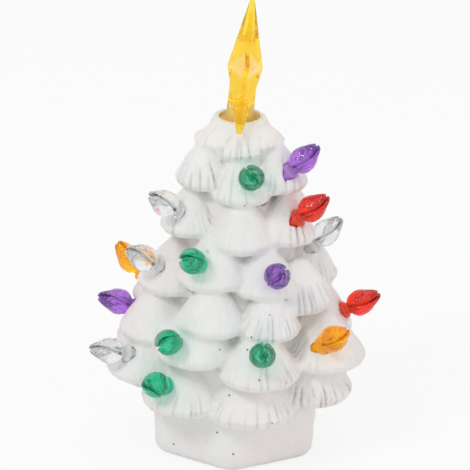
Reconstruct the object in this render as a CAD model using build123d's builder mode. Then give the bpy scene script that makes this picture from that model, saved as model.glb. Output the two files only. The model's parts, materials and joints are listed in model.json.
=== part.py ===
# A small white ceramic christmas tree with plastic twist bulbs, a yellow star and a battery light.
# Millimetres. +Z is up, the front is -Y, and the origin is the middle of the underside.
# Azimuths are in degrees from the front, positive towards +X, the viewer's right.
import os
from math import cos, radians, sin, sqrt

from build123d import *

os.makedirs("parts", exist_ok=True)

# Clearances
loose = 0.3
running = 0.08

# Ceramic body: pedestal, trunk, top rim and cavity
pedestal_radius = 30.0
pedestal_corner = 8.0
pedestal_turn = 27.0
pedestal_height = 20.0
pedestal_edge = 3.5
rim_height = 113.5
trunk = [
    (24.0, 15.0), (27.5, 24.0), (26.5, 36.0), (24.0, 48.0), (20.5, 61.0),
    (17.0, 75.0), (13.5, 89.0), (11.0, 101.0), (11.0, 107.0), (8.6, rim_height),
]
wall = 6.0
cavity_mouth_radius = 18.0
cavity_foot_radius = 21.0
cavity_top = 103.0

# Branch pads of the front half, row by row from the top: azimuth, hem height, hem radius, half width
front_pads = [
    (-62, 105.0, 16.0, 9.5), (4, 102.5, 15.0, 9.5), (66, 104.5, 15.5, 9.5),
    (-60, 92.5, 22.5, 10.0), (5, 89.0, 20.5, 10.5), (62, 91.5, 24.0, 10.0),
    (-62, 77.0, 27.5, 10.5), (4, 74.0, 25.5, 12.0), (57, 75.0, 28.5, 10.5),
    (-70, 57.0, 34.0, 12.5), (-24, 62.5, 31.0, 12.5), (26, 60.0, 31.0, 11.5), (56, 53.5, 35.5, 11.5),
    (-68, 41.0, 40.5, 13.5), (-20, 48.5, 36.0, 12.0), (24, 47.0, 35.5, 11.0), (76, 44.5, 37.8, 12.5),
    (-66, 29.0, 45.5, 14.5), (-30, 38.5, 39.5, 14.0), (15, 33.0, 41.5, 14.0), (62, 34.5, 46.0, 14.0),
    (-40, 20.5, 40.0, 15.0), (11, 18.5, 39.0, 16.0), (60, 22.0, 42.0, 14.5),
]
side_pads = [
    (92, 77.0, 25.0, 9.0), (-91, 49.0, 34.5, 11.5), (-91, 34.0, 39.5, 12.5), (-91, 20.5, 38.0, 13.0),
    (92, 57.0, 33.0, 11.5), (108, 40.0, 37.5, 12.5), (91, 27.0, 41.0, 13.5),
]
pad_height = 9.0
pad_height_share = 0.65
pad_lip_share = 0.22
pad_under_share = 0.86
pad_shoulder_share = 0.6
pad_shoulder_place = 0.55
pad_top_share = 0.16
pad_below_rim = 1.2
# The back half has the same pads, turned round, lower and further in
back_turn = 183.0
back_drop = 2.5
back_inset = 3.0

# Twist bulb, from the seat of its collar outwards
peg_radius = 1.75
peg_length = 6.5
collar_radius = 2.75
collar_height = 1.4
neck_radius = 2.0
body_start = 2.6
body_radius = 4.2
body_length = 11.0
tip_radius = 1.15
twist_turn = 200.0
groove_share = 0.3
seat_depth = 0.4
# Azimuth and height of the seat, azimuth and elevation that the bulb points to
bulb_places = [
    (13, 98.0, 3, 22), (53, 99.0, 75, 48), (-55, 85.5, -56, 36), (51, 84.0, 75, 42),
    (83, 70.0, 88, 47), (-27, 71.5, -25, 30), (-62, 66.5, -66, 34), (-94, 57.0, -114, 46),
    (25, 68.0, 10, 24), (-86, 47.5, -78, 19), (75, 50.0, 80, 31), (-34, 46.5, -18, 24),
    (13, 44.8, 3, 22), (-60, 38.5, -72, 14), (-40, 30.5, -32, 20), (48, 44.0, 51, 38),
    (178, 96.0, 178, 20), (146, 80.0, 170, 30), (-140, 82.0, -164, 30), (157, 67.0, 157, 28),
    (-153, 70.0, -153, 30), (-158, 56.0, -158, 26), (167, 40.0, 167, 26), (-147, 44.0, -147, 26),
    (160, 54.0, 160, 26), (-138, 24.0, -138, 26),
]

# Star and its stem, along an axis that leans to the right
star_lean = 5.2
star_height = 16.6
star_radius = 22.6
star_inner_share = 0.36
star_half_thickness = 5.7
star_edge_thickness = 1.4
stem_radius = 4.4
stem_wall = 1.1
stem_top = 12.0
spigot_length = 4.0
socket_depth = 3.2
flange_radius = 6.3
flange_thickness = 1.6
stem_tail = 5.0

# Light unit in the foot
flange_bottom = 0.8
ledge_height = 3.0
plug_radius = 20.0
cell_radius = 5.8
cell_height = 5.4
cell_count = 3
tube_wall = 1.6
roof_thickness = 1.2
cap_radius = 8.4
cap_thickness = 1.5
cap_gap = 0.1
neck_length = 3.0
lug_height = 1.0
lug_reach = 1.3
lug_arc = 24.0
cap_turn = 60.0
sheet = 0.4
strip_width = 2.4
board_radius = 17.0
board_height = 8.0
board_thickness = 1.6
post_radius = 2.6
post_place = 13.5
post_angles = (30.0, 150.0)
screw_radius = 1.0
screw_head_radius = 1.9
screw_head_height = 1.3
led_radius = 2.5
led_rim = 0.4
led_height = 5.5
led_place = 12.4
led_angles = (90.0, 210.0, 330.0)
lead_radius = 0.25
lead_spread = 1.27
switch_place = -12.2
switch_length = 9.0
switch_width = 5.6
switch_height = 3.6
knob_size = 2.0
knob_plate = 3.2
knob_travel = 3.0
top_contact_angle = 300.0
side_contact_angle = 120.0


def around(azimuth, radius, height):
    """Place at an azimuth from the front, a radius and a height."""
    return Vector(radius * sin(radians(azimuth)), -radius * cos(radians(azimuth)), height)


def heading(azimuth, elevation):
    """Direction that points outwards at an azimuth and an elevation."""
    level = cos(radians(elevation))
    return Vector(level * sin(radians(azimuth)), -level * cos(radians(azimuth)), sin(radians(elevation)))


def flat(radius, angle):
    """Place seen from above, at a radius and an angle from +X."""
    return (radius * cos(radians(angle)), radius * sin(radians(angle)))


def spoke(angle):
    """Upright plane through the axis: its x runs outwards at an angle from +X, its y runs up."""
    out = Vector(*flat(1, angle), 0)
    return Plane(origin=(0, 0, 0), x_dir=out, z_dir=out.cross(Vector(0, 0, 1)))


# Ceramic body: pedestal, trunk and pads, hollow inside
back_pads = [
    (back_turn - azimuth, hem - back_drop, radius - back_inset, half_width)
    for azimuth, hem, radius, half_width in front_pads
]
hole_seats = []
star_axis = Plane(
    origin=(0, 0, rim_height),
    x_dir=(cos(radians(star_lean)), 0, -sin(radians(star_lean))),
    z_dir=(sin(radians(star_lean)), 0, cos(radians(star_lean))),
)

with BuildPart() as tree_body:
    with BuildSketch():
        RegularPolygon(pedestal_radius, 6, rotation=pedestal_turn)
        fillet(vertices(), pedestal_corner)
    extrude(amount=pedestal_height)
    fillet(edges().group_by(Axis.Z)[0], pedestal_edge)
    with BuildSketch(Plane.XZ):
        with BuildLine():
            Polyline((0, trunk[0][1]), *trunk, (0, rim_height), close=True)
        make_face()
    revolve(axis=Axis.Z)
    # Every pad is a bell turned about its own upright axis, with a lip, a shoulder and a narrow top
    for azimuth, hem_height, hem_radius, half_width in front_pads + side_pads + back_pads:
        height = min(pad_height + pad_height_share * half_width, rim_height - pad_below_rim - hem_height)
        lip = pad_lip_share * half_width
        shoulder = lip + pad_shoulder_place * (height - lip)
        foot = around(azimuth, hem_radius - half_width, hem_height)
        out = heading(azimuth, 0)
        pad_plane = Plane(foot, x_dir=out, z_dir=out.cross(Vector(0, 0, 1)))
        with BuildSketch(pad_plane, mode=Mode.PRIVATE) as pad_profile:
            with BuildLine():
                Polyline(
                    (0, 0),
                    (pad_under_share * half_width, 0),
                    (half_width, lip),
                    (pad_shoulder_share * half_width, shoulder),
                    (pad_top_share * half_width, height),
                    (0, height),
                    close=True,
                )
            make_face()
        revolve(pad_profile.sketch, axis=Axis(foot, (0, 0, 1)), clean=False)
    # Seat of every bulb, where its axis meets the ceramic from outside
    for azimuth, height, point_azimuth, elevation in bulb_places:
        way = heading(point_azimuth, elevation)
        hits = tree_body.part.find_intersection_points(Axis((0, 0, height), heading(azimuth, 0)))
        surface = max((hit[0] for hit in hits), key=lambda place: place.dot(heading(azimuth, 0)))
        hole_seats.append(Plane(surface - way * seat_depth, z_dir=way))
    # Hollow, with a mouth and a ledge for the light unit
    with BuildSketch(Plane.XZ):
        with BuildLine():
            Polyline(
                (0, 0),
                (plug_radius + loose, 0),
                (plug_radius + loose, ledge_height),
                (cavity_mouth_radius, ledge_height),
                (cavity_mouth_radius, ledge_height + 3),
                (cavity_foot_radius, ledge_height + 7),
                (cavity_foot_radius, pedestal_height - 2),
                *[(radius - wall, height) for radius, height in trunk[1:-2]],
                (trunk[-3][0] - wall, cavity_top),
                (0, cavity_top),
                close=True,
            )
        make_face()
    revolve(axis=Axis.Z, mode=Mode.SUBTRACT)
    # Socket of the star
    with BuildSketch(star_axis.offset(1.0)):
        Circle(flange_radius + loose)
    extrude(amount=-socket_depth - 1.0, mode=Mode.SUBTRACT)
    with BuildSketch(star_axis):
        Circle(stem_radius + loose)
    extrude(amount=cavity_top - rim_height - 1.0, mode=Mode.SUBTRACT)
    # Bulb holes, each with a shallow flat for the collar
    drills = []
    for seat in hole_seats:
        with BuildSketch(seat, mode=Mode.PRIVATE) as collar_seat:
            Circle(collar_radius + loose)
        drills.append(extrude(collar_seat.sketch, amount=6.0, mode=Mode.PRIVATE))
        reach = sqrt(seat.origin.X**2 + seat.origin.Y**2)
        with BuildSketch(seat.offset(1.0), mode=Mode.PRIVATE) as peg_hole:
            Circle(peg_radius + loose)
        drills.append(extrude(peg_hole.sketch, amount=-1.0 - reach, mode=Mode.PRIVATE))
    add(drills, mode=Mode.SUBTRACT)
tree_body.part.label = "tree_body"
export_step(tree_body.part, "parts/tree_body.step")

# Twist bulb: peg, collar and neck turned, the body two-lobed and twisted
body_stations = [
    (0.0, 0.5), (0.1, 0.78), (0.24, 0.97), (0.38, 1.0),
    (0.52, 0.93), (0.68, 0.74), (0.84, 0.52), (0.95, 0.36),
]
with BuildPart() as bulb:
    with BuildSketch(Plane.XZ):
        with BuildLine():
            Polyline(
                (0, -peg_length),
                (peg_radius - 0.4, -peg_length),
                (peg_radius, -peg_length + 0.8),
                (peg_radius, 0),
                (collar_radius, 0),
                (collar_radius, collar_height),
                (neck_radius, collar_height + 0.5),
                (neck_radius, body_start),
                (tip_radius, body_start + 0.9 * body_length),
                (tip_radius, body_start + body_length),
                (0, body_start + body_length),
                close=True,
            )
        make_face()
    revolve(axis=Axis.Z)
    fillet(edges().group_by(Axis.Z)[-1], 0.9 * tip_radius)
    for share, width in body_stations:
        size = width * body_radius
        turned = Plane((0, 0, body_start + share * body_length)).rotated((0, 0, twist_turn * share))
        with BuildSketch(turned):
            Circle(size)
            with Locations((1.12 * size, 0), (-1.12 * size, 0)):
                Circle(groove_share * size, mode=Mode.SUBTRACT)
    loft()
bulb.part.label = "bulb"

for number, seat in enumerate(hole_seats, start=1):
    with BuildPart() as placed_bulb:
        with Locations(seat.location):
            add(bulb.part)
    placed_bulb.part.label = f"bulb_{number:02d}"
    export_step(placed_bulb.part, f"parts/bulb_{number:02d}.step")

# Star: a slab with a pyramid on each face, a round boss below and a spigot for the stem
star_middle = star_axis.from_local_coords((0, 0, star_height))
star_plane = Plane(star_middle, x_dir=(0, -1, 0), z_dir=-star_axis.x_dir)
with BuildPart() as star:
    for side in (-1, 1):
        with BuildSketch(star_plane) as star_outline:
            with BuildLine():
                corners = []
                for corner in range(10):
                    size = star_radius * (star_inner_share if corner % 2 else 1.0)
                    angle = radians(90 + 36 * corner)
                    corners.append((size * cos(angle), size * sin(angle)))
                Polyline(*corners, close=True)
            make_face()
        extrude(amount=side * star_edge_thickness / 2)
        slab_face = star_plane.offset(side * star_edge_thickness / 2)
        with BuildSketch(slab_face, mode=Mode.PRIVATE) as pyramid_foot:
            add(star_plane.to_local_coords(star_outline.sketch))
        apex = Vertex(*star_plane.from_local_coords((0, 0, side * star_half_thickness)))
        loft([pyramid_foot.sketch.face(), apex], ruled=True)
    with BuildSketch(star_axis.offset(star_height)):
        Circle(stem_radius)
    extrude(amount=-stem_top)
    with BuildSketch(star_axis.offset(star_height - stem_top)):
        Circle(stem_radius - stem_wall - running)
    extrude(amount=-spigot_length)
star.part.label = "star"
export_step(star.part, "parts/star.step")

# Hollow stem with the flange that sits on the ledge of the socket
with BuildPart() as star_stem:
    with BuildSketch(star_axis.offset(-socket_depth)):
        Circle(flange_radius)
    extrude(amount=flange_thickness)
    with BuildSketch(star_axis.offset(star_height - stem_top)):
        Circle(stem_radius)
    extrude(amount=stem_top - star_height - socket_depth - stem_tail)
    with BuildSketch(star_axis.offset(star_height - stem_top)):
        Circle(stem_radius - stem_wall)
    extrude(amount=stem_top - star_height - socket_depth - stem_tail, mode=Mode.SUBTRACT)
star_stem.part.label = "star_stem"
export_step(star_stem.part, "parts/star_stem.step")

# Heights of the battery stack
cap_bottom = flange_bottom + cap_gap
cap_top = cap_bottom + cap_thickness
neck_top = cap_top + neck_length
stack_bottom = neck_top + sheet
stack_top = stack_bottom + cell_count * cell_height
bore_radius = cell_radius + loose
tube_radius = bore_radius + tube_wall
roof_bottom = stack_top + sheet + 1.0
board_top = board_height + board_thickness
lug_bottom = cap_top + 1.0

# Plug that closes the underside: disc, battery tube, posts and slots
with BuildPart() as light_base:
    with BuildSketch(Plane.XY.offset(flange_bottom)):
        Circle(plug_radius)
    extrude(amount=ledge_height - flange_bottom)
    with BuildSketch(Plane.XY.offset(ledge_height)):
        Circle(tube_radius)
    extrude(amount=roof_bottom + roof_thickness - ledge_height)
    with BuildSketch(Plane.XY.offset(ledge_height)):
        for angle in post_angles:
            with Locations(flat(post_place, angle)):
                Circle(post_radius)
    extrude(amount=board_height - ledge_height)
    with BuildSketch(Plane.XY.offset(flange_bottom)):
        Circle(bore_radius)
    extrude(amount=roof_bottom - flange_bottom, mode=Mode.SUBTRACT)
    with BuildSketch(Plane.XY.offset(flange_bottom)):
        Circle(cap_radius + loose)
    extrude(amount=cap_thickness + cap_gap, mode=Mode.SUBTRACT)
    # Screw holes in the posts
    with BuildSketch(Plane.XY.offset(board_height)):
        for angle in post_angles:
            with Locations(flat(post_place, angle)):
                Circle(screw_radius + running)
    extrude(amount=ledge_height + 1.0 - board_height, mode=Mode.SUBTRACT)
    # Bayonet slots: each an arc at the height of the lug and a way in from below at its far end
    for start in (0.0, 180.0):
        with BuildSketch(spoke(start - lug_arc / 2 - 4.0)):
            with Locations((tube_radius, lug_bottom + lug_height / 2)):
                Rectangle(2 * tube_wall + 1.0, lug_height + 2 * loose)
        revolve(axis=Axis.Z, revolution_arc=cap_turn + lug_arc + 8.0, mode=Mode.SUBTRACT)
        with BuildSketch(spoke(start + cap_turn - lug_arc / 2 - 4.0)):
            with Locations((bore_radius + lug_reach / 2, (flange_bottom + lug_bottom) / 2)):
                Rectangle(lug_reach + 2 * loose, lug_bottom - flange_bottom + 0.4)
        revolve(axis=Axis.Z, revolution_arc=lug_arc + 8.0, mode=Mode.SUBTRACT)
    # Slots for the two contacts and for the switch knob
    with BuildSketch(spoke(top_contact_angle)):
        with Locations((tube_radius, stack_top + sheet / 2)):
            Rectangle(2 * tube_wall + 1.0, sheet + 2 * loose)
    extrude(amount=strip_width / 2 + loose, both=True, mode=Mode.SUBTRACT)
    with BuildSketch(spoke(side_contact_angle)):
        with Locations((tube_radius, stack_bottom - sheet / 2)):
            Rectangle(2 * tube_wall + 1.0, sheet + 2 * loose)
    extrude(amount=strip_width / 2 + loose, both=True, mode=Mode.SUBTRACT)
    with BuildSketch(Plane.XY.offset(flange_bottom)):
        with Locations((0, switch_place)):
            Rectangle(knob_size + knob_travel + 2 * loose, knob_size + 2 * loose)
    extrude(amount=ledge_height - flange_bottom, mode=Mode.SUBTRACT)
light_base.part.label = "light_base"
export_step(light_base.part, "parts/light_base.step")

# Battery cap: head with a coin slot, neck and two lugs
with BuildPart() as battery_cap:
    with BuildSketch(Plane.XY.offset(cap_bottom)):
        Circle(cap_radius)
    extrude(amount=cap_thickness)
    with BuildSketch(Plane.XY.offset(cap_top)):
        Circle(cell_radius)
    extrude(amount=neck_length)
    for start in (0.0, 180.0):
        with BuildSketch(spoke(start - lug_arc / 2)):
            with Locations((cell_radius + lug_reach / 2 - 0.3, lug_bottom + lug_height / 2)):
                Rectangle(lug_reach + 0.6, lug_height)
        revolve(axis=Axis.Z, revolution_arc=lug_arc)
    with BuildSketch(Plane.XY.offset(cap_bottom)):
        SlotOverall(1.4 * cap_radius, 1.6)
    extrude(amount=0.7, mode=Mode.SUBTRACT)
battery_cap.part.label = "battery_cap"
export_step(battery_cap.part, "parts/battery_cap.step")

with BuildPart() as cap_contact:
    with BuildSketch(Plane.XY.offset(neck_top)):
        Circle(cell_radius - 0.2)
    extrude(amount=sheet)
cap_contact.part.label = "cap_contact"
export_step(cap_contact.part, "parts/cap_contact.step")

# Button cells: a can with a smaller raised cap on the upper side
for number in range(1, cell_count + 1):
    with BuildPart() as cell:
        with BuildSketch(Plane.XY.offset(stack_bottom + (number - 1) * cell_height)):
            Circle(cell_radius)
        extrude(amount=0.8 * cell_height)
        fillet(edges().group_by(Axis.Z)[0], 0.4)
        with BuildSketch(Plane.XY.offset(stack_bottom + (number - 0.2) * cell_height)):
            Circle(0.88 * cell_radius)
        extrude(amount=0.2 * cell_height)
        fillet(edges().group_by(Axis.Z)[-1], 0.3)
    cell.part.label = f"button_cell_{number}"
    export_step(cell.part, f"parts/button_cell_{number}.step")

# Contacts of sheet metal: each runs from the stack through the tube wall to the board
strip_inner = tube_radius + loose
foot_end = strip_inner + 2.5
with BuildPart() as top_contact:
    with BuildSketch(Plane.XY.offset(stack_top)):
        Circle(0.8 * cell_radius)
    extrude(amount=sheet)
    with BuildSketch(spoke(top_contact_angle)):
        with BuildLine():
            Polyline(
                (2.0, stack_top),
                (strip_inner, stack_top),
                (strip_inner, board_top),
                (foot_end, board_top),
                (foot_end, board_top + sheet),
                (strip_inner + sheet, board_top + sheet),
                (strip_inner + sheet, stack_top + sheet),
                (2.0, stack_top + sheet),
                close=True,
            )
        make_face()
    extrude(amount=strip_width / 2, both=True)
top_contact.part.label = "top_contact"
export_step(top_contact.part, "parts/top_contact.step")

with BuildPart() as side_contact:
    with BuildSketch(spoke(side_contact_angle)):
        with BuildLine():
            Polyline(
                (cell_radius + 0.1, neck_top),
                (strip_inner + sheet, neck_top),
                (strip_inner + sheet, board_height - sheet),
                (foot_end, board_height - sheet),
                (foot_end, board_height),
                (strip_inner, board_height),
                (strip_inner, neck_top + sheet),
                (cell_radius + 0.1, neck_top + sheet),
                close=True,
            )
        make_face()
    extrude(amount=strip_width / 2, both=True)
side_contact.part.label = "side_contact"
export_step(side_contact.part, "parts/side_contact.step")

# Ring-shaped board with holes for screws and leads
with BuildPart() as circuit_board:
    with BuildSketch(Plane.XY.offset(board_height)):
        Circle(board_radius)
        Circle(tube_radius + loose, mode=Mode.SUBTRACT)
        for angle in post_angles:
            with Locations(flat(post_place, angle)):
                Circle(screw_radius + loose, mode=Mode.SUBTRACT)
        for angle in led_angles:
            for side in (-lead_spread, lead_spread):
                with Locations(flat(led_place + side, angle)):
                    Circle(lead_radius + loose, mode=Mode.SUBTRACT)
    extrude(amount=board_thickness)
circuit_board.part.label = "circuit_board"
export_step(circuit_board.part, "parts/circuit_board.step")

for number, angle in enumerate(post_angles, start=1):
    place = flat(post_place, angle)
    with BuildPart() as board_screw:
        with BuildSketch(Plane.XY.offset(board_top)):
            with Locations(place):
                Circle(screw_head_radius)
        extrude(amount=screw_head_height)
        fillet(edges().group_by(Axis.Z)[-1], 0.5)
        with BuildSketch(Plane.XY.offset(board_top)):
            with Locations(place):
                Circle(screw_radius)
        extrude(amount=ledge_height + 1.4 - board_top)
        with BuildSketch(Plane.XY.offset(board_top + screw_head_height)):
            with Locations(place):
                Rectangle(2.2, 0.5)
                Rectangle(0.5, 2.2)
        extrude(amount=-0.7, mode=Mode.SUBTRACT)
    board_screw.part.label = f"board_screw_{number}"
    export_step(board_screw.part, f"parts/board_screw_{number}.step")

# Light-emitting diodes: rim, round body, dome and two leads through the board
for number, angle in enumerate(led_angles, start=1):
    with BuildPart() as led:
        with BuildSketch(spoke(angle)):
            with BuildLine():
                Polyline(
                    (led_place, board_top),
                    (led_place + led_radius + led_rim, board_top),
                    (led_place + led_radius + led_rim, board_top + 1.0),
                    (led_place + led_radius, board_top + 1.0),
                    (led_place + led_radius, board_top + led_height),
                )
                RadiusArc(
                    (led_place + led_radius, board_top + led_height),
                    (led_place, board_top + led_height + led_radius),
                    -led_radius,
                )
                Line((led_place, board_top + led_height + led_radius), (led_place, board_top))
            make_face()
        revolve(axis=Axis((*flat(led_place, angle), 0), (0, 0, 1)))
        with BuildSketch(Plane.XY.offset(board_top)):
            for side in (-lead_spread, lead_spread):
                with Locations(flat(led_place + side, angle)):
                    Circle(lead_radius)
        extrude(amount=-board_thickness - 0.8)
    led.part.label = f"led_{number}"
    export_step(led.part, f"parts/led_{number}.step")

# Slide switch: a box with a slot below, and a knob that is kept in by its wider plate
switch_bottom = board_height - switch_height
plate_bottom = switch_bottom + 0.8
with BuildPart() as switch_body:
    with BuildSketch(Plane.XY.offset(switch_bottom)):
        with Locations((0, switch_place)):
            Rectangle(switch_length, switch_width)
    extrude(amount=switch_height)
    with BuildSketch(Plane.XY.offset(switch_bottom)):
        with Locations((0, switch_place)):
            Rectangle(knob_size + knob_travel + 2 * loose, knob_size + 2 * loose)
    extrude(amount=1.0, mode=Mode.SUBTRACT)
    with BuildSketch(Plane.XY.offset(plate_bottom - loose)):
        with Locations((0, switch_place)):
            Rectangle(knob_plate + knob_travel + 2 * loose, knob_plate + 2 * loose)
    extrude(amount=0.8 + 2 * loose, mode=Mode.SUBTRACT)
switch_body.part.label = "switch_body"
export_step(switch_body.part, "parts/switch_body.step")

with BuildPart() as switch_knob:
    with BuildSketch(Plane.XY.offset(flange_bottom + 0.2)):
        with Locations((-knob_travel / 2, switch_place)):
            Rectangle(knob_size, knob_size)
    extrude(amount=plate_bottom - flange_bottom)
    with BuildSketch(Plane.XY.offset(plate_bottom)):
        with Locations((-knob_travel / 2, switch_place)):
            Rectangle(knob_plate, knob_plate)
    extrude(amount=0.8)
switch_knob.part.label = "switch_knob"
export_step(switch_knob.part, "parts/switch_knob.step")
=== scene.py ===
# A small white ceramic christmas tree with plastic twist bulbs, a yellow star and a battery light.
# Metres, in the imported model's frame: +Z is up and the front is -Y.
import json
import math

import bpy
import numpy as np
from mathutils import Matrix, Vector


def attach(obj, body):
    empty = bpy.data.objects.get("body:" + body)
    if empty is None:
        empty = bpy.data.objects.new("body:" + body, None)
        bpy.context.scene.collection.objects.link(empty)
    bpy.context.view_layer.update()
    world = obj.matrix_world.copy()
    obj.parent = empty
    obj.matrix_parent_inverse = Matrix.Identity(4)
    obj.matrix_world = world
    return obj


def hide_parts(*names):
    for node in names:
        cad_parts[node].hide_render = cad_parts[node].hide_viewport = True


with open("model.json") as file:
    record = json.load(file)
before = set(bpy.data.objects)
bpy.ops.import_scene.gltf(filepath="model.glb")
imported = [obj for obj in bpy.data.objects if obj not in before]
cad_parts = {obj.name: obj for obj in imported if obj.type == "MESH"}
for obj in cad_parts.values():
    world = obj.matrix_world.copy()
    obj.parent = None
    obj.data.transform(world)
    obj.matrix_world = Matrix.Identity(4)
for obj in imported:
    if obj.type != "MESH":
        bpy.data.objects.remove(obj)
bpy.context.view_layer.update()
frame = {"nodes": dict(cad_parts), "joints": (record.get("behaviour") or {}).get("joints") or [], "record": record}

scene = bpy.context.scene

# Ceramic tree body: one hollow slip-cast piece, drooping branch pads in rows round a trunk on a six-sided
# foot, painted satin white. Needle grooves were cut into the pads of the mould, some sharp and some worn.
MM = 0.001
RIM_HEIGHT = 113.5
PAD_HEIGHT, PAD_HEIGHT_SHARE, PAD_BELOW_RIM = 9.0, 0.65, 1.2
# Outline of a pad from its underside to its top: share of its half width, at its lip and shoulder
PAD_UNDER_SHARE, PAD_SHOULDER_SHARE, PAD_TOP_SHARE = 0.86, 0.6, 0.16
PAD_LIP_SHARE, PAD_SHOULDER_PLACE = 0.22, 0.55
# Pads of the front half: azimuth, hem height, hem radius, half width, depth and slant of the needle grooves
FRONT_PADS = [
    (-62, 105.0, 16.0, 9.5, 0.15, 0.1), (4, 102.5, 15.0, 9.5, 0.5, 0.0), (66, 104.5, 15.5, 9.5, 0.15, -0.1),
    (-60, 92.5, 22.5, 10.0, 0.75, 0.3), (5, 89.0, 20.5, 10.5, 0.28, 0.1), (62, 91.5, 24.0, 10.0, 0.35, -0.2),
    (-62, 77.0, 27.5, 10.5, 0.35, 0.0), (4, 74.0, 25.5, 12.0, 0.06, 0.0), (57, 75.0, 28.5, 10.5, 0.65, 0.0),
    (-70, 57.0, 34.0, 12.5, 0.08, 0.0), (-24, 62.5, 31.0, 12.5, 0.06, 0.1), (26, 60.0, 31.0, 11.5, 0.1, 0.0),
    (56, 53.5, 35.5, 11.5, 0.45, 0.0),
    (-68, 41.0, 40.5, 13.5, 0.12, 0.0), (-20, 48.5, 36.0, 12.0, 0.05, 0.0), (24, 47.0, 35.5, 11.0, 0.5, 0.0),
    (76, 44.5, 37.8, 12.5, 0.2, 0.0),
    (-66, 29.0, 45.5, 14.5, 0.12, 0.0), (-30, 38.5, 39.5, 14.0, 0.1, 0.1), (15, 33.0, 41.5, 14.0, 0.35, 0.0),
    (62, 34.5, 46.0, 14.0, 0.2, 0.0),
    (-40, 20.5, 40.0, 15.0, 0.32, 0.0), (11, 18.5, 39.0, 16.0, 0.35, 0.0), (60, 22.0, 42.0, 14.5, 0.65, 0.0),
]
SIDE_PADS = [
    (92, 77.0, 25.0, 9.0, 0.4, 0.0), (-91, 49.0, 34.5, 11.5, 0.3, 0.0), (-91, 34.0, 39.5, 12.5, 0.4, 0.0),
    (-91, 20.5, 38.0, 13.0, 0.5, 0.0), (92, 57.0, 33.0, 11.5, 0.4, 0.0), (108, 40.0, 37.5, 12.5, 0.4, 0.0),
    (91, 27.0, 41.0, 13.5, 0.5, 0.0),
]
# The back half has the same pads, turned round, lower and further in
BACK_TURN, BACK_DROP, BACK_INSET = 183, 2.5, 3.0
BACK_PADS = [
    (BACK_TURN - azimuth, hem - BACK_DROP, radius - BACK_INSET, *rest)
    for azimuth, hem, radius, *rest in FRONT_PADS
]
# Needle grooves: pitch, gain on a pad's depth, half width as a share of the pitch, and how round the valley is
GROOVE_PITCH, GROOVE_GAIN, GROOVE_WIDTH, GROOVE_SHARPNESS = 2.4, 2.9, 0.3, 1.4
# What each groove draws for itself: shift as a share of the pitch, upper end as a share of the pad, depth
GROOVE_SHIFT, GROOVE_ENDS, GROOVE_CUTS = 0.35, (0.3, 0.95), (-0.25, 1.2)
GROOVE_LOW_REACH, GROOVE_FADE, GROOVE_SWAY = 0.35, 0.25, 0.03
SKIN_DEPTH = 0.8
VOXEL = 0.45 * MM
SOFTENING = 36
MOST_TRIANGLES = 190000


def pick(piece):
    """Make one piece the only selected and the active object."""
    bpy.ops.object.select_all(action="DESELECT")
    piece.select_set(True)
    bpy.context.view_layer.objects.active = piece


def finish_modifier(piece, kind, **settings):
    """Add a modifier to a piece, set it and apply it."""
    pick(piece)
    modifier = piece.modifiers.new(kind.lower(), kind)
    for name, value in settings.items():
        setattr(modifier, name, value)
    bpy.ops.object.modifier_apply(modifier=modifier.name)


def copy_of_node(node, name):
    """A new piece with a merged copy of a CAD node's mesh."""
    piece = bpy.data.objects.new(name, frame["nodes"][node].data.copy())
    scene.collection.objects.link(piece)
    piece.data.materials.clear()
    pick(piece)
    bpy.ops.object.mode_set(mode="EDIT")
    bpy.ops.mesh.select_all(action="SELECT")
    bpy.ops.mesh.remove_doubles(threshold=0.002 * MM)
    bpy.ops.object.mode_set(mode="OBJECT")
    return piece


def heading(azimuth, elevation):
    """Direction that points outwards at an azimuth from the front and an elevation."""
    level = math.cos(math.radians(elevation))
    turn = math.radians(azimuth)
    return np.array((level * math.sin(turn), -level * math.cos(turn), math.sin(math.radians(elevation))))


def points_of(piece):
    """A piece's vertices in millimetres."""
    flat = np.empty(len(piece.data.vertices) * 3, np.float32)
    piece.data.vertices.foreach_get("co", flat)
    return flat.reshape(-1, 3).astype(float) / MM


def normals_of(piece):
    """The outward direction at each of a piece's vertices."""
    flat = np.empty(len(piece.data.vertices) * 3, np.float32)
    piece.data.vertex_normals.foreach_get("vector", flat)
    return flat.reshape(-1, 3).astype(float)


def move_points(piece, points):
    """Put a piece's vertices at places in millimetres."""
    piece.data.vertices.foreach_set("co", (points * MM).astype(np.float32).ravel())
    piece.data.update()


def keep_numbers(piece, name, values):
    """Keep one number on each of a piece's vertices, under a name that a material can read."""
    piece.data.attributes.new(name, "FLOAT", "POINT").data.foreach_set("value", values.astype(np.float32))


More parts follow.
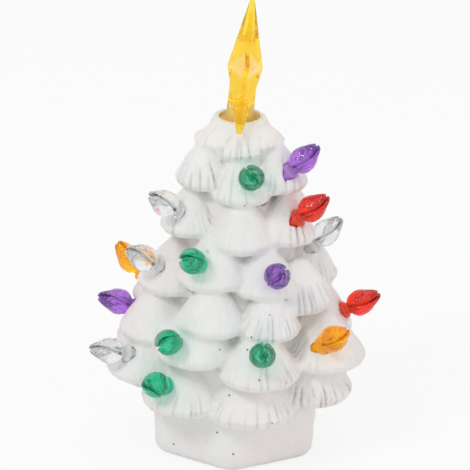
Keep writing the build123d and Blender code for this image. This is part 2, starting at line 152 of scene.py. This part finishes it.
def needle_grooves(points):
    """Depth in millimetres of the needle grooves at each point of the skin."""
    depth = np.zeros(len(points))
    weight = np.zeros(len(points))
    for number, (azimuth, hem_height, hem_radius, half, deep, slant) in enumerate(
        FRONT_PADS + SIDE_PADS + BACK_PADS
    ):
        out = heading(azimuth, 0)
        tall = min(PAD_HEIGHT + PAD_HEIGHT_SHARE * half, RIM_HEIGHT - PAD_BELOW_RIM - hem_height)
        lip = PAD_LIP_SHARE * half
        across = points - out * (hem_radius - half)
        rise = across[:, 2] - hem_height
        turn = np.arctan2(across[:, :2] @ np.array((-out[1], out[0])), across[:, :2] @ out[:2])
        radius = np.hypot(across[:, 0], across[:, 1])
        shares = half * np.array((PAD_UNDER_SHARE, 1, PAD_SHOULDER_SHARE, PAD_TOP_SHARE))
        skin = np.interp(rise, (0, lip, lip + PAD_SHOULDER_PLACE * (tall - lip), tall), shares)
        share = np.clip((rise - lip) / (tall - lip), 0, 1)
        near = np.exp(-(((radius - skin) / SKIN_DEPTH) ** 2)) * ((rise > 0) & (rise < tall))
        # Each groove has its own place, depth and length, and those of the low pads are short
        count = round(2 * math.pi * half / GROOVE_PITCH)
        draw = np.random.default_rng(number)
        reach = GROOVE_LOW_REACH + (1 - GROOVE_LOW_REACH) * hem_height / RIM_HEIGHT
        shift = draw.uniform(-GROOVE_SHIFT, GROOVE_SHIFT, count)
        start = draw.uniform(*GROOVE_ENDS, count) * reach
        cut = np.clip(draw.uniform(*GROOVE_CUTS, count), 0, 1)
        sway = GROOVE_SWAY * np.sin(5 * share + number)
        phase = (turn + slant * share + sway) / (2 * math.pi) * count
        index = np.round(phase).astype(int)
        own = index % count
        valley = np.clip(1 - np.abs(phase - index - shift[own]) / GROOVE_WIDTH, 0, 1)
        along = np.clip((start[own] - share) / GROOVE_FADE, 0, 1) * np.clip(rise / (0.6 * lip), 0, 1)
        depth += GROOVE_GAIN * near * deep * cut[own] * along * valley**GROOVE_SHARPNESS
        weight += near
    return depth / np.maximum(weight, 1)


tree = copy_of_node("tree_body", "ceramic_tree")
finish_modifier(tree, "REMESH", mode="VOXEL", voxel_size=VOXEL)

# The bulb holes and the star's socket stay sharp, and the rest is softened as paint softens a cast
bulb_nodes = [row["node"] for row in frame["record"]["subparts"] if row["node"].startswith("bulb_")]
bulb_axes = {joint["child"]: Vector(joint["axis"]) for joint in frame["joints"]}
BULB_REACH = 13.6
HOLE_RADIUS, HOLE_REACH = 3.5, 4.0
SOCKET_RADIUS, SOCKET_BOTTOM = 7.2, 100.0
FOOT_EDGE, FOOT_FACE = 3.6, 0.4
bulb_seats = {}
for node in bulb_nodes:
    way = np.array(bulb_axes[node])
    places = points_of(frame["nodes"][node])
    along = places @ way
    tip = places[along > along.max() - 0.02].mean(0)
    bulb_seats[node] = tip - BULB_REACH * way
points = points_of(tree)
soft = np.ones(len(points))
for node in bulb_nodes:
    offset = points - bulb_seats[node]
    along = offset @ np.array(bulb_axes[node])
    from_axis = np.sqrt(np.maximum((offset**2).sum(1) - along**2, 0))
    soft[(from_axis < HOLE_RADIUS) & (along < HOLE_REACH)] = 0.0
soft[(np.hypot(points[:, 0], points[:, 1]) < SOCKET_RADIUS) & (points[:, 2] > SOCKET_BOTTOM)] = 0.0
soft[points[:, 2] < FOOT_EDGE] = 0.5
soft[points[:, 2] < FOOT_FACE] = 0.1
group = tree.vertex_groups.new(name="soft_skin")
for value in np.unique(soft):
    group.add(np.flatnonzero(soft == value).tolist(), value, "REPLACE")
finish_modifier(tree, "SMOOTH", factor=0.5, iterations=SOFTENING, vertex_group="soft_skin")

# Lumps of the cast and marks of the modelling tool: size and height
for name, size, strength in (("cast_lumps", 9.0, 1.0), ("tool_marks", 2.6, 0.3)):
    lumps = bpy.data.textures.new(name, "CLOUDS")
    lumps.noise_scale = size * MM
    finish_modifier(
        tree, "DISPLACE", texture=lumps, texture_coords="LOCAL", strength=strength * MM, mid_level=0.5,
        vertex_group="soft_skin",
    )

points = points_of(tree)
move_points(tree, points - normals_of(tree) * needle_grooves(points)[:, None])
triangles = sum(len(face.vertices) - 2 for face in tree.data.polygons)
if triangles > MOST_TRIANGLES:
    finish_modifier(tree, "DECIMATE", ratio=MOST_TRIANGLES / triangles, use_collapse_triangulate=True)
tree.vertex_groups.clear()
pick(tree)
bpy.ops.object.shade_smooth()

# Pinholes that the casting left in the skin: azimuth and height
PINHOLES = [
    (7.8, 50.3), (5.5, 45.7), (11.3, 38.3), (7.3, 89.2), (-4.2, 29.2), (17.0, 22.0),
    (0.0, 7.3), (-47.2, 4.6), (-12.3, 14.0),
]
PINHOLE_RADIUS, PINHOLE_SEARCH = 0.42, 0.7
# Dust that stays in the grooves of the lower right
DUST_AZIMUTH, DUST_RADIUS, DUST_HEIGHT, DUST_REACH = 48, 38.0, 27.0, 17.0
# Depth of a groove that is full of dust, and of one that gets the full painted shade
DUST_GROOVE, SHADED_GROOVE = 0.35, 0.6
# Coloured light that each bulb throws on the white, kept as paint: middle along the bulb, share and reach
GLOW_PLACE, GLOW_SHARE, GLOW_REACH = 5.5, 0.3, 5.0
GLOWS = {
    "green_bulb_plastic": (0.25, 0.8, 0.58),
    "purple_bulb_plastic": (0.62, 0.5, 0.85),
    "red_bulb_plastic": (0.95, 0.55, 0.48),
    "amber_bulb_plastic": (0.98, 0.78, 0.5),
    "clear_bulb_plastic": (0.86, 0.86, 0.86),
}
slot_of = {row["node"]: row["material_slot"] for row in frame["record"]["subparts"]}

points = points_of(tree)
pinhole_places = []
for azimuth, height in PINHOLES:
    out = heading(azimuth, 0)
    offset = points - np.array((0, 0, height))
    off_line = np.linalg.norm(offset - np.outer(offset @ out, out), axis=1)
    pinhole_places.append(points[np.where(off_line < PINHOLE_SEARCH, offset @ out, -1).argmax()])

glow = np.zeros((len(points), 4))
for node in bulb_nodes:
    centre = bulb_seats[node] + GLOW_PLACE * np.array(bulb_axes[node])
    strength = GLOW_SHARE * np.exp(-((np.linalg.norm(points - centre, axis=1) / GLOW_REACH) ** 2))
    glow[:, :3] += strength[:, None] * np.array(GLOWS[slot_of[node]])
    glow[:, 3] += strength
glow[:, :3] /= np.maximum(glow[:, 3:], 1e-6)
grooves = needle_grooves(points)
dust_centre = heading(DUST_AZIMUTH, 0) * DUST_RADIUS + np.array((0, 0, DUST_HEIGHT))
dust = np.exp(-((np.linalg.norm(points - dust_centre, axis=1) / DUST_REACH) ** 2))
keep_numbers(tree, "dust", dust * np.clip(grooves / DUST_GROOVE, 0, 1))
keep_numbers(tree, "groove", np.clip(grooves / SHADED_GROOVE, 0, 1))
keep_numbers(tree, "glow_share", glow[:, 3])
glow[:, 3] = 1
glow_colours = tree.data.attributes.new("glow", "FLOAT_COLOR", "POINT")
glow_colours.data.foreach_set("color", glow.astype(np.float32).ravel())


def wire(material, kind, sockets, **settings):
    """Add a shader node, set it, and give its inputs a value or another node's output."""
    node = material.node_tree.nodes.new("ShaderNode" + kind)
    for name, value in settings.items():
        setattr(node, name, value)
    for name, value in sockets.items():
        if isinstance(value, bpy.types.NodeSocket):
            material.node_tree.links.new(value, node.inputs[name])
        else:
            node.inputs[name].default_value = value
    return node


def finish_of(name):
    """A new material, its shader and its object coordinates."""
    material = bpy.data.materials.new(name)
    material.use_nodes = True
    place = wire(material, "TexCoord", {}).outputs["Object"]
    return material, material.node_tree.nodes["Principled BSDF"], place


def noise(material, place, scale, detail=2.0, low=0.0, high=1.0, source=(0.3, 0.7)):
    """Cloudy noise on the object's coordinates, as a number from low to high."""
    cloud = wire(material, "TexNoise", {"Vector": place, "Scale": scale, "Detail": detail})
    spread = {"From Min": source[0], "From Max": source[1], "To Min": low, "To Max": high}
    return wire(material, "MapRange", {"Value": cloud.outputs["Fac"], **spread}).outputs["Result"]


def blend_colour(material, share, first, second):
    """Colour that goes from the first to the second as share goes from 0 to 1."""
    mixed = wire(material, "Mix", {"Factor": share}, data_type="RGBA")
    for socket, value in ((mixed.inputs[6], first), (mixed.inputs[7], second)):
        if isinstance(value, bpy.types.NodeSocket):
            material.node_tree.links.new(value, socket)
        else:
            socket.default_value = (*value, 1.0)
    return mixed.outputs[2]


def product(material, first, second):
    """Two numbers multiplied, each a value or another node's output."""
    times = wire(material, "Math", {}, operation="MULTIPLY")
    for socket, value in zip(times.inputs, (first, second)):
        if isinstance(value, bpy.types.NodeSocket):
            material.node_tree.links.new(value, socket)
        else:
            socket.default_value = value
    return times.outputs[0]


def attribute(material, name, output="Fac"):
    """A number or colour kept on the piece's own points."""
    return wire(material, "Attribute", {}, attribute_name=name).outputs[output]


def join(material, output, shader, socket):
    """Give one of the shader's inputs another node's output."""
    material.node_tree.links.new(output, shader.inputs[socket])


WHITE_PAINT, PINK_PAINT, GREY_PAINT = (0.88, 0.872, 0.858), (0.9, 0.82, 0.805), (0.845, 0.84, 0.83)
PAINTED_GROOVE_SHADE, DUST_BROWN = (0.56, 0.545, 0.525), (0.2, 0.185, 0.17)
SPECK_BROWN, PINHOLE_SHADE = (0.16, 0.14, 0.12), (0.09, 0.08, 0.075)
white, shader, place = finish_of("white_ceramic")
blush = noise(white, place, 28, 3, 0.0, 1.0, (0.48, 0.68))
paint = blend_colour(white, blush, WHITE_PAINT, PINK_PAINT)
paint = blend_colour(white, noise(white, place, 90, 4, 0.0, 0.5), paint, GREY_PAINT)
paint = blend_colour(white, attribute(white, "glow_share"), paint, attribute(white, "glow", "Color"))
# Painted shade darkens the needle grooves, the more the deeper they are
paint = blend_colour(white, product(white, attribute(white, "groove"), 0.4), paint, PAINTED_GROOVE_SHADE)
grit = product(white, attribute(white, "dust"), noise(white, place, 420, 3, 0.0, 0.7, (0.5, 0.68)))
paint = blend_colour(white, grit, paint, DUST_BROWN)
# Specks: round dots in a few of the cells that divide the skin
cells = wire(white, "TexVoronoi", {"Vector": place, "Scale": 190.0})
dot_edge = {"From Min": 0.05, "From Max": 0.09, "To Min": 1.0, "To Max": 0.0}
speck = wire(white, "MapRange", {"Value": cells.outputs["Distance"], **dot_edge})
chosen = wire(white, "SeparateColor", {"Color": cells.outputs["Color"]})
few = wire(white, "Math", {0: chosen.outputs["Red"], 1: 0.9}, operation="GREATER_THAN")
specks = product(white, speck.outputs["Result"], few.outputs[0])
paint = blend_colour(white, product(white, specks, 0.8), paint, SPECK_BROWN)
nearest = 1.0
for pinhole in pinhole_places:
    away = wire(white, "VectorMath", {0: place, 1: pinhole * MM}, operation="DISTANCE")
    nearest = wire(white, "Math", {0: away.outputs["Value"], 1: nearest}, operation="MINIMUM").outputs[0]
rim = {"From Min": 0.6 * PINHOLE_RADIUS * MM, "From Max": PINHOLE_RADIUS * MM, "To Min": 1, "To Max": 0}
pinholes = wire(white, "MapRange", {"Value": nearest, **rim}).outputs["Result"]
# Painted shade darkens the inside of each pinhole
paint = blend_colour(white, product(white, pinholes, 0.85), paint, PINHOLE_SHADE)
join(white, paint, shader, "Base Color")
join(white, noise(white, place, 160, 3, 0.42, 0.62), shader, "Roughness")
shader.inputs["Specular IOR Level"].default_value = 0.4
# Relief of the paint: fine grain, then strokes of the brush that run up and down, then the pinholes
skin = wire(white, "Bump", {"Height": noise(white, place, 520, 4), "Strength": 0.28, "Distance": 0.3 * MM})
strokes = wire(white, "Mapping", {"Vector": place, "Scale": (1, 1, 0.12)}).outputs["Vector"]
stroke_relief = {"Height": noise(white, strokes, 480, 3), "Strength": 0.4, "Distance": 0.5 * MM}
brushed = wire(white, "Bump", {**stroke_relief, "Normal": skin.outputs["Normal"]})
pinhole_relief = {"Height": pinholes, "Strength": 0.6, "Distance": 0.5 * MM}
pricked = wire(white, "Bump", {**pinhole_relief, "Normal": brushed.outputs["Normal"]}, invert=True)
join(white, pricked.outputs["Normal"], shader, "Normal")
tree.data.materials.append(white)
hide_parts("tree_body")
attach(tree, "tree")

# Twist bulbs: solid injection-moulded clear plastic, each with a flame-shaped body, a slot that runs over
# the tip and winds down both sides, a neck, a collar that sits on the ceramic and a peg pushed into a hole.
BULB_SIDES = 128
# Peg, collar and neck: height above the seat and radius
BULB_FOOT = [
    (-6.5, 1.2), (-6.3, 1.5), (-5.7, 1.75), (-0.3, 1.75), (-0.05, 1.8), (0.0, 2.5), (0.12, 2.72),
    (0.3, 2.75), (1.1, 2.75), (1.3, 2.7), (1.42, 2.5), (1.6, 2.15), (1.9, 2.0), (2.4, 2.0),
]
# Body: share of its length and share of its widest radius
BODY_START, BODY_LENGTH, BODY_RADIUS = 2.6, 11.0, 4.2
BULB_BODY = [
    (0.0, 0.5), (0.03, 0.62), (0.07, 0.75), (0.12, 0.85), (0.18, 0.93), (0.25, 0.98), (0.32, 1.0),
    (0.39, 0.995), (0.46, 0.965), (0.53, 0.915), (0.59, 0.85), (0.65, 0.775), (0.71, 0.69), (0.77, 0.605),
    (0.82, 0.535), (0.87, 0.47), (0.91, 0.42), (0.94, 0.375), (0.965, 0.325), (0.983, 0.26), (0.994, 0.18),
    (1.0, 0.08),
]
RING_STEP = 0.22
BULB_TWIST = 45.0
SLOT_HALF, SLOT_EDGE, SLOT_DEEP, SLOT_FADE = 0.62, 0.3, 1.15, 2.0
RIPPLE_SIZE, RIPPLE_HEIGHT = 2.0, 0.4
# Stretch above the seat over which the clouded foot becomes clear
CLOUD_START, CLOUD_LENGTH = 1.2, 2.6
CAMERA_ELEVATION = 22.0
# How far the slot is turned from level, for the bulbs that face the camera. The others turn it to the front
SLOT_TURNS = {
    "bulb_01": 135, "bulb_06": 20, "bulb_09": 50, "bulb_12": 50, "bulb_13": 100, "bulb_15": 150,
}

outline = np.array(
    [(BODY_START + share * BODY_LENGTH, width * BODY_RADIUS) for share, width in BULB_BODY]
)
run = np.concatenate(([0], np.cumsum(np.hypot(*np.diff(outline, axis=0).T))))
steps = np.linspace(0, run[-1], round(run[-1] / RING_STEP))
body_rings = zip(np.interp(steps, run, outline[:, 0]), np.interp(steps, run, outline[:, 1]))
rings = BULB_FOOT + list(body_rings)
bpy.ops.object.select_all(action="DESELECT")
bpy.ops.mesh.primitive_circle_add(
    vertices=BULB_SIDES, radius=rings[0][1] * MM, fill_type="NGON", location=(0, 0, rings[0][0] * MM)
)
bulb = bpy.context.object
bulb.name = "twist_bulb"
bpy.ops.object.transform_apply(location=True)
bpy.ops.object.mode_set(mode="EDIT")
bpy.ops.mesh.select_all(action="SELECT")
for (low, narrow), (high, wide) in zip(rings, rings[1:]):
    bpy.ops.mesh.extrude_region_move(TRANSFORM_OT_translate={"value": (0, 0, (high - low) * MM)})
    bpy.ops.transform.resize(value=(wide / narrow, wide / narrow, 1), center_override=(0, 0, high * MM))
bpy.ops.mesh.extrude_region_move(TRANSFORM_OT_translate={"value": (0, 0, 0)})
bpy.ops.mesh.merge(type="CENTER")
bpy.ops.mesh.select_all(action="SELECT")
bpy.ops.mesh.normals_make_consistent(inside=False)
bpy.ops.object.mode_set(mode="OBJECT")

# The slot is a straight cut over the tip and down both sides, and the twist then winds it a little
skin_points = points_of(bulb)
inward = -normals_of(bulb)
cut = np.clip((SLOT_HALF - np.abs(skin_points[:, 1])) / SLOT_EDGE, 0, 1)
cut *= np.clip((skin_points[:, 2] - BODY_START) / SLOT_FADE, 0, 1)
move_points(bulb, skin_points + inward * (SLOT_DEEP * cut)[:, None])
# Half-way down the slot is a wall, darkened by painted shade, and its floor less so
keep_numbers(bulb, "slot_shade_and_amber", np.clip(4 * cut * (1 - cut), 0, 1) + 0.4 * cut)
length = rings[-1][0] - rings[0][0]
finish_modifier(
    bulb, "SIMPLE_DEFORM", deform_method="TWIST", deform_axis="Z", angle=math.radians(BULB_TWIST),
    limits=((BODY_START - rings[0][0]) / length, 1.0),
)
ripples = bpy.data.textures.new("mould_ripples", "CLOUDS")
ripples.noise_scale = RIPPLE_SIZE * MM
body = bulb.vertex_groups.new(name="body")
body.add(np.flatnonzero(points_of(bulb)[:, 2] > BODY_START).tolist(), 1.0, "REPLACE")
finish_modifier(
    bulb, "DISPLACE", texture=ripples, texture_coords="LOCAL", strength=RIPPLE_HEIGHT * MM, mid_level=0.5,
    vertex_group="body",
)
bulb.vertex_groups.clear()
bpy.ops.object.shade_smooth()
keep_numbers(bulb, "body_share", np.clip((points_of(bulb)[:, 2] - CLOUD_START) / CLOUD_LENGTH, 0, 1))

# Tint of the plastic, what is left of white light after a way through it, how fast, how clear the
# collar and the body are, how far they bend light, and a faint painted glow, set from the photograph
PLASTICS = {
    "green_bulb_plastic": ((0.05, 0.92, 0.68), (0.02, 0.84, 0.66), 200.0, (0.4, 0.93), 1.46, 0.03),
    "purple_bulb_plastic": ((0.72, 0.38, 0.94), (0.62, 0.28, 0.84), 150.0, (0.4, 0.93), 1.46, 0.03),
    "red_bulb_plastic": ((1.0, 0.09, 0.035), (0.98, 0.12, 0.05), 180.0, (0.4, 0.93), 1.46, 0.04),
    "amber_bulb_plastic": ((1.0, 0.52, 0.012), (1.0, 0.8, 0.1), 60.0, (0.4, 0.93), 1.42, 0.11),
    "clear_bulb_plastic": ((0.95, 0.96, 0.96), (0.98, 0.98, 0.98), 4.0, (0.3, 0.82), 1.26, 0.02),
}


def clear_plastic(name, tint, depth_tint, depth, clear, bend, painted_glow, dark=None, ripple=0.4):
    """Moulded plastic with flow marks, clouded at its foot, whose colour deepens with its thickness."""
    material, shader, place = finish_of(name)
    shade = tuple(0.85 * value for value in tint)
    body = blend_colour(material, noise(material, place, 150, 2), tint, shade)
    # The bulbs' slot walls get painted shade, a dark copy of the tint; the stem's amber foot uses the same mix
    dark = dark or tuple(0.08 * value for value in tint)
    shade_and_amber = product(material, attribute(material, "slot_shade_and_amber"), 0.85)
    join(material, blend_colour(material, shade_and_amber, body, dark), shader, "Base Color")
    join(material, noise(material, place, 300, 2, 0.03, 0.08), shader, "Roughness")
    spread = {"Value": attribute(material, "body_share"), "To Min": clear[0], "To Max": clear[1]}
    join(material, wire(material, "MapRange", spread).outputs["Result"], shader, "Transmission Weight")
    shader.inputs["IOR"].default_value = bend
    # Painted glow: the plastic gives off a faint light of its tint, though no lamp is lit inside it
    shader.inputs["Emission Color"].default_value = (*tint, 1.0)
    shader.inputs["Emission Strength"].default_value = painted_glow
    flow = noise(material, place, 420, 3)
    marks = wire(material, "Bump", {"Height": flow, "Strength": ripple, "Distance": 0.4 * MM})
    join(material, marks.outputs["Normal"], shader, "Normal")
    inside = wire(material, "VolumeAbsorption", {"Color": (*depth_tint, 1.0), "Density": depth})
    output = material.node_tree.nodes["Material Output"]
    material.node_tree.links.new(inside.outputs["Volume"], output.inputs["Volume"])
    return material


plastics = {slot: clear_plastic(slot, *values) for slot, values in PLASTICS.items()}
for node in bulb_nodes:
    piece = bpy.data.objects.new("twist_" + node, bulb.data.copy())
    scene.collection.objects.link(piece)
    seat = Matrix.Translation(Vector(bulb_seats[node]) * MM)
    aim = bulb_axes[node].to_track_quat("Z", "Y").to_matrix().to_4x4()
    front = aim.to_3x3().transposed() @ Vector(heading(0, CAMERA_ELEVATION))
    aside = math.degrees(math.atan2(front.y, front.x)) + BULB_TWIST / 2
    turn = SLOT_TURNS.get(node, aside) - BULB_TWIST
    piece.data.transform(seat @ aim @ Matrix.Rotation(math.radians(turn), 4, "Z"))
    piece.data.materials.append(plastics[slot_of[node]])
    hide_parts(node)
    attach(piece, node)
bpy.data.objects.remove(bulb)

# Star stem: hollow moulded tube with the flange that rests in the socket in the top of the tree.
# It is the same see-through plastic as the star, paler because its wall is thin.
stem = copy_of_node("star_stem", "star_tube")
finish_modifier(
    stem, "BEVEL", width=0.2 * MM, segments=2, limit_method="ANGLE", angle_limit=math.radians(40)
)
bpy.ops.object.shade_smooth_by_angle(angle=math.radians(35))
# The tube is clear above its flange, and amber where it goes down into the tree: height and fade
STEM_CLEAR, STEM_CLEAR_FADE = 112.5, 2.0
STEM_AMBER, STEM_AMBER_FADE = 114.2, 1.5
stem_heights = points_of(stem)[:, 2]
keep_numbers(stem, "body_share", np.clip((stem_heights - STEM_CLEAR) / STEM_CLEAR_FADE, 0, 1))
keep_numbers(stem, "slot_shade_and_amber", np.clip((STEM_AMBER - stem_heights) / STEM_AMBER_FADE, 0, 1))
stem.data.materials.append(
    clear_plastic(
        "pale_yellow_plastic", tint=(1.0, 0.93, 0.42), depth_tint=(1.0, 0.92, 0.5), depth=20.0,
        clear=(0.1, 0.9), bend=1.12, painted_glow=0.08, dark=(0.72, 0.36, 0.03), ripple=0.2,
    )
)
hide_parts("star_stem")
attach(stem, "star_stem")

# Star: solid see-through yellow plastic, five points with a ridge down each, moulded with a round boss
# below that plugs into the tube. The edges are a little rounded by the mould.
star = copy_of_node("star", "yellow_star")
finish_modifier(
    star, "BEVEL", width=0.3 * MM, segments=2, limit_method="ANGLE", angle_limit=math.radians(20)
)
bpy.ops.object.shade_smooth_by_angle(angle=math.radians(18))
keep_numbers(star, "body_share", np.ones(len(star.data.vertices)))
star.data.materials.append(
    clear_plastic(
        "yellow_plastic", tint=(1.0, 0.8, 0.1), depth_tint=(1.0, 0.75, 0.1), depth=55.0,
        clear=(0.93, 0.93), bend=1.24, painted_glow=0.05, ripple=0.15,
    )
)
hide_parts("star")
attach(star, "star")

# Light unit in the foot: a moulded white plug with a battery tube, its cap, button cells, sheet contacts,
# a board with its screws, diodes and a slide switch. The solids have their shape, and get finishes here.
def moulded(name, colour, roughness):
    """Moulded plastic with a fine spark-eroded grain."""
    material, shader, place = finish_of(name)
    shade = tuple(0.9 * value for value in colour)
    tone = blend_colour(material, noise(material, place, 220, 3), colour, shade)
    join(material, tone, shader, "Base Color")
    join(material, noise(material, place, 500, 2, roughness, roughness + 0.15), shader, "Roughness")
    grain = noise(material, place, 2600, 2)
    relief = wire(material, "Bump", {"Height": grain, "Strength": 0.2, "Distance": 0.1 * MM})
    join(material, relief.outputs["Normal"], shader, "Normal")
    return material


def plated(name, colour, roughness, turned):
    """Plated metal, with fine marks that run round the axis of turned pieces or along rolled sheet."""
    material, shader, place = finish_of(name)
    stretch = wire(material, "Mapping", {"Vector": place, "Scale": (1, 1, 12) if turned else (1, 9, 1)})
    shade = tuple(0.75 * value for value in colour)
    marks = noise(material, stretch.outputs["Vector"], 700, 4)
    join(material, blend_colour(material, marks, colour, shade), shader, "Base Color")
    join(material, noise(material, place, 380, 3, roughness, roughness + 0.2), shader, "Roughness")
    shader.inputs["Metallic"].default_value = 1.0
    scratches = wire(material, "Bump", {"Height": marks, "Strength": 0.12, "Distance": 0.05 * MM})
    join(material, scratches.outputs["Normal"], shader, "Normal")
    return material


laminate, shader, place = finish_of("board_laminate")
weave = wire(laminate, "TexBrick", {"Vector": place, "Scale": 420.0, "Mortar Size": 0.06})
WEAVE_COLOURS = {"Color1": (0.03, 0.2, 0.08), "Color2": (0.035, 0.23, 0.095), "Mortar": (0.05, 0.3, 0.13)}
for socket, value in WEAVE_COLOURS.items():
    weave.inputs[socket].default_value = (*value, 1.0)
join(laminate, weave.outputs["Color"], shader, "Base Color")
join(laminate, noise(laminate, place, 300, 2, 0.25, 0.4), shader, "Roughness")

resin, shader, place = finish_of("led_resin")
clouds = noise(resin, place, 300, 2)
join(resin, blend_colour(resin, clouds, (0.95, 0.95, 0.9), (0.85, 0.86, 0.82)), shader, "Base Color")
join(resin, noise(resin, place, 400, 2, 0.06, 0.14), shader, "Roughness")
shader.inputs["Transmission Weight"].default_value = 0.85

finishes = {
    "white_plastic": moulded("white_plastic", (0.82, 0.82, 0.8), 0.42),
    "black_plastic": moulded("black_plastic", (0.03, 0.03, 0.032), 0.4),
    "contact_sheet": plated("contact_sheet", (0.78, 0.75, 0.68), 0.22, False),
    "cell_steel": plated("cell_steel", (0.72, 0.72, 0.71), 0.2, True),
    "screw_steel": plated("screw_steel", (0.6, 0.6, 0.6), 0.28, True),
    "board_laminate": laminate,
    "led_resin": resin,
}
for node, slot in slot_of.items():
    if slot in finishes:
        solid = frame["nodes"][node]
        solid.data.materials.clear()
        solid.data.materials.append(finishes[slot])

# Studio: a pale floor that keeps a soft shadow, a white surround, soft lamps and the camera at the
# photograph's view. None of it belongs to the object.
FLOOR_SIZE = 3.0
bpy.ops.object.select_all(action="DESELECT")
bpy.ops.mesh.primitive_plane_add(size=FLOOR_SIZE, location=(0, 0, 0))
floor = bpy.context.object
floor.name = "studio_floor"


def seen_share(material, share):
    """Share for rays that come from the camera, a reflection or a see-through piece, and 0 for light."""
    path = wire(material, "LightPath", {}).outputs
    seen = path["Is Camera Ray"]
    for ray in ("Is Glossy Ray", "Is Transmission Ray"):
        seen = wire(material, "Math", {0: seen, 1: path[ray]}, operation="MAXIMUM").outputs[0]
    return product(material, seen, share)


pale, shader, place = finish_of("pale_floor")
clouds = noise(pale, place, 3, 2)
join(pale, blend_colour(pale, clouds, (0.93, 0.93, 0.93), (0.91, 0.91, 0.91)), shader, "Base Color")
shader.inputs["Roughness"].default_value = 0.9
bright = wire(pale, "Emission", {"Color": (1, 1, 1, 1), "Strength": 1.0})
lit = wire(pale, "MixShader", {"Fac": seen_share(pale, 0.8)})
pale.node_tree.links.new(shader.outputs["BSDF"], lit.inputs[1])
pale.node_tree.links.new(bright.outputs["Emission"], lit.inputs[2])
output = pale.node_tree.nodes["Material Output"]
pale.node_tree.links.new(lit.outputs["Shader"], output.inputs["Surface"])
floor.data.materials.append(pale)

AMBIENT = 0.67
world = bpy.data.worlds.new("white_surround")
scene.world = world
world.use_nodes = True
background = world.node_tree.nodes["Background"]
background.inputs["Color"].default_value = (1, 1, 1, 1)
level = wire(world, "MapRange", {"Value": seen_share(world, 1.0), "To Min": AMBIENT, "To Max": 1.0})
world.node_tree.links.new(level.outputs["Result"], background.inputs["Strength"])


LAMP_AIM = Vector((0, 0, 0.06))


def soft_lamp(name, place, size, power):
    """Square lamp that faces the tree."""
    lamp = bpy.data.lights.new(name, "AREA")
    lamp.size, lamp.energy = size, power
    holder = bpy.data.objects.new(name, lamp)
    scene.collection.objects.link(holder)
    holder.location = place
    holder.rotation_euler = (LAMP_AIM - Vector(place)).to_track_quat("-Z", "Y").to_euler()


soft_lamp("key_lamp", (-0.55, -0.6, 0.9), 0.26, 2.8)
soft_lamp("fill_lamp", (0.8, -0.5, 0.45), 0.7, 1.2)
soft_lamp("top_lamp", (0.1, 0.25, 1.1), 0.6, 1.2)

CAMERA_DISTANCE = 1.2
CAMERA_AIM = Vector((-0.000975, 0, 0.072))
CAMERA_ROLL = 0.8
IMAGE_PIXELS, FOCAL_PIXELS = 470, 3692
lens = bpy.data.cameras.new("photo_view")
camera = bpy.data.objects.new("photo_view", lens)
scene.collection.objects.link(camera)
scene.camera = camera
lens.sensor_width = 36.0
lens.lens = lens.sensor_width * FOCAL_PIXELS / IMAGE_PIXELS
back = Vector(heading(0, CAMERA_ELEVATION))
camera.location = CAMERA_AIM + CAMERA_DISTANCE * back
turned = Matrix.Rotation(math.radians(CAMERA_ROLL), 4, "Z")
camera.rotation_euler = ((-back).to_track_quat("-Z", "Y").to_matrix().to_4x4() @ turned).to_euler()
scene.view_settings.view_transform = "Standard"
